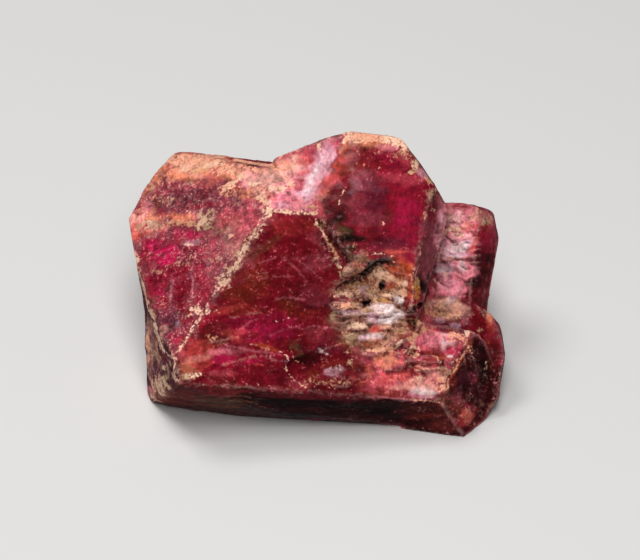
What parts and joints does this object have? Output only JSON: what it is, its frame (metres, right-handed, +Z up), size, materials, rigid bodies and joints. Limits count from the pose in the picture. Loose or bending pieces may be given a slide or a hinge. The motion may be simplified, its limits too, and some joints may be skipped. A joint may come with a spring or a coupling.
{
  "type": "spinel crystal",
  "caption": "Rough cluster of intergrown octahedral spinel crystals, ruby red with pale worn edges, a broken ledged hollow and a flat base to stand on.",
  "frame": {"origin": "middle of the flat base, in the plane it rests on", "axes": "+X along the length of the cluster, +Y from the broad front crystal face to the back, +Z up from the base"},
  "size_m": [0.0242, 0.0178, 0.0155],
  "materials": {
    "spinel": "waxy translucent crystal faces, rough and pale where worn or broken"
  },
  "bodies": {
    "root": {"spinel_crystal": "spinel"}
  },
  "joints": []
}
